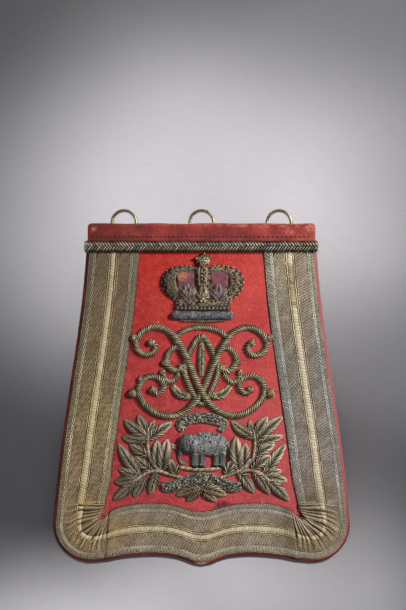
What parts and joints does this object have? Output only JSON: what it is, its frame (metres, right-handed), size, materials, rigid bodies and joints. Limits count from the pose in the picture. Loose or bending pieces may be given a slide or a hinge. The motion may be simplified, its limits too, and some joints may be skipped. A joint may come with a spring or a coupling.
{
  "type": "sabretache",
  "caption": "Officer's full-dress sabretache lying on its back: flat leather pouch under a wide scarlet flap with metal lace border, padded embroidery and wire loops along the top.",
  "frame": {"origin": "middle of the footprint, at the surface that the pouch's back lies on", "axes": "+X across the flap, +Y up it towards the loops, +Z out of its embroidered face"},
  "size_m": [0.298, 0.3568, 0.0251],
  "materials": {
    "scarlet_cloth": "fulled wool cloth, matte",
    "red_leather": "worn morocco",
    "pouch_leather": "worn morocco",
    "metal_lace": "tarnished woven metal lace",
    "braid_wire": "tarnished plaited metal cord",
    "gold_bullion": "tarnished metal thread embroidery",
    "silver_bullion": "blackened metal thread embroidery",
    "crimson_velvet": "velvet",
    "loop_brass": "tarnished"
  },
  "bodies": {
    "root": {"cloth_face": "scarlet_cloth", "flap_board": "red_leather", "edge_piping": "red_leather", "top_leather": "red_leather", "pouch_back": "pouch_leather", "pouch_front": "pouch_leather", "pouch_gusset": "pouch_leather", "lace_border": "metal_lace", "braid_band": "braid_wire", "scroll_knot": "gold_bullion", "laurel_left": "gold_bullion", "laurel_right": "gold_bullion", "tie_leaves": "gold_bullion", "ground_line": "gold_bullion", "crown_arch_left": "gold_bullion", "crown_arch_right": "gold_bullion", "crown_arch_middle": "gold_bullion", "crown_circlet": "gold_bullion", "crown_underline": "gold_bullion", "crown_orb": "gold_bullion", "elephant": "silver_bullion", "elephant_tusk": "silver_bullion", "upper_ribbon": "silver_bullion", "lower_ribbon": "silver_bullion", "crown_roll": "silver_bullion", "crown_cap_left": "crimson_velvet", "crown_cap_right": "crimson_velvet", "loop_left": "loop_brass", "loop_centre": "loop_brass", "loop_right": "loop_brass"}
  },
  "joints": []
}
